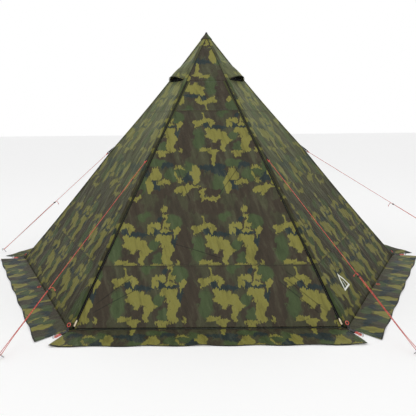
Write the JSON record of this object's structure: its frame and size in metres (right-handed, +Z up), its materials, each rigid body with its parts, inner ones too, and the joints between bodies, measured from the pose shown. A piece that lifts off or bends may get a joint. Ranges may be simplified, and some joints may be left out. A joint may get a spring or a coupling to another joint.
{
  "type": "teepee tent",
  "caption": "Six-sided pyramid tent on one centre pole, with a zipped front door, hooded vents, ground flaps, red guy lines and pegs.",
  "frame": {"origin": "on the ground under the centre pole, at the middle of the groundsheet's underside", "axes": "+Z up along the pole, -Y out through the door, +X to the right of someone facing the door from outside"},
  "size_m": [4.7994, 3.7559, 2.277],
  "materials": {
    "camo_cloth": "woven polyester with a polyurethane coating, faint sheen, printed woodland pattern",
    "webbing": "black polyester binding and webbing",
    "zip_tape": "black zip tape with a nylon coil",
    "zip_metal": "black painted zinc slider",
    "pull_cord": "pale woven pull",
    "mesh": "fine black insect mesh",
    "pole_steel": "zinc plated steel tube",
    "peg_steel": "bright steel rod",
    "black_plastic": "moulded black plastic",
    "groundsheet": "woven polyethylene sheet",
    "red_cord": "braided polyester cord, red with pale flecks"
  },
  "bodies": {
    "root": {"groundsheet": "groundsheet", "pole_foot": "black_plastic", "pole_section_1": "pole_steel", "pole_section_2": "pole_steel", "pole_section_3": "pole_steel", "pole_section_4": "pole_steel", "pole_ferrules": "pole_steel", "pole_tip": "black_plastic", "peak_cap": "black_plastic", "wall_rear_right": "camo_cloth", "wall_rear": "camo_cloth", "wall_rear_left": "camo_cloth", "wall_front_left": "camo_cloth", "wall_front_right": "camo_cloth", "front_top_panel": "camo_cloth", "ridge_tape_right": "webbing", "ridge_tape_rear_right": "webbing", "ridge_tape_rear_left": "webbing", "ridge_tape_left": "webbing", "ridge_tape_front_left": "webbing", "ridge_tape_front_right": "webbing", "skirt_rear_right": "camo_cloth", "skirt_rear": "camo_cloth", "skirt_rear_left": "camo_cloth", "skirt_front_left": "camo_cloth", "skirt_front": "camo_cloth", "skirt_front_right": "camo_cloth", "zip_left": "zip_tape", "zip_right": "zip_tape", "vent_mesh_left": "mesh", "vent_mesh_right": "mesh", "guy_tabs": "webbing", "guy_line_front_left": "red_cord", "guy_line_front_right": "red_cord", "guy_line_left": "red_cord", "guy_line_right": "red_cord", "guy_peg_front_left": "peg_steel", "guy_peg_front_right": "peg_steel", "guy_peg_left": "peg_steel", "guy_peg_right": "peg_steel", "corner_straps": "webbing", "corner_buckles": "black_plastic", "corner_loops": "red_cord", "corner_pegs": "peg_steel", "side_loops": "red_cord"},
    "zip_slider_left": {"zip_slider_left": "zip_metal"},
    "zip_slider_right": {"zip_slider_right": "zip_metal"},
    "zip_pull_left": {"zip_pull_left": "pull_cord"},
    "zip_pull_right": {"zip_pull_right": "pull_cord"},
    "door": {"door_panel": "camo_cloth", "door_hem": "camo_cloth"},
    "hood_left": {"vent_hood_left": "camo_cloth", "hood_stiffener_left": "webbing"},
    "hood_right": {"vent_hood_right": "camo_cloth", "hood_stiffener_right": "webbing"},
    "tensioner_front_left": {"tensioner_front_left": "black_plastic"},
    "tensioner_front_right": {"tensioner_front_right": "black_plastic"},
    "tensioner_left": {"tensioner_left": "black_plastic"},
    "tensioner_right": {"tensioner_right": "black_plastic"}
  },
  "joints": [
    {"name": "zip_left_slide", "type": "slide", "parent": "root", "child": "zip_slider_left", "axis": [0.328, 0.5682, 0.7547], "range_m": [0, 2.107]},
    {"name": "zip_pull_left_hinge", "type": "hinge", "parent": "zip_slider_left", "child": "zip_pull_left", "pos_m": [-0.86275, -1.55205, 0.05684], "axis": [-0.9447, 0.1973, 0.2621], "range_deg": [0, 150]},
    {"name": "zip_right_slide", "type": "slide", "parent": "root", "child": "zip_slider_right", "axis": [-0.328, 0.5682, 0.7547], "range_m": [0, 2.107]},
    {"name": "zip_pull_right_hinge", "type": "hinge", "parent": "zip_slider_right", "child": "zip_pull_right", "pos_m": [0.86275, -1.55205, 0.05684], "axis": [-0.9447, -0.1973, -0.2621], "range_deg": [0, 150]},
    {"name": "door_swing", "type": "hinge", "parent": "root", "child": "door", "pos_m": [0, -0.33281, 1.66295], "axis": [-1, 0, 0], "range_deg": [0, 60]},
    {"name": "hood_left_lift", "type": "hinge", "parent": "root", "child": "hood_left", "pos_m": [-0.15805, -0.09125, 1.86311], "axis": [-0.5, 0.866, 0], "range_deg": [0, 40]},
    {"name": "hood_right_lift", "type": "hinge", "parent": "root", "child": "hood_right", "pos_m": [0.15805, -0.09125, 1.86311], "axis": [-0.5, -0.866, 0], "range_deg": [0, 40]},
    {"name": "tensioner_front_left_slide", "type": "slide", "parent": "root", "child": "tensioner_front_left", "axis": [-0.4421, -0.6632, -0.6039], "range_m": [0, 0.25]},
    {"name": "tensioner_front_right_slide", "type": "slide", "parent": "root", "child": "tensioner_front_right", "axis": [0.4421, -0.6632, -0.6039], "range_m": [0, 0.25]},
    {"name": "tensioner_left_slide", "type": "slide", "parent": "root", "child": "tensioner_left", "axis": [-0.7539, 0.147, -0.6403], "range_m": [0, 0.25]},
    {"name": "tensioner_right_slide", "type": "slide", "parent": "root", "child": "tensioner_right", "axis": [0.8503, 0.1226, -0.5118], "range_m": [0, 0.25]}
  ]
}
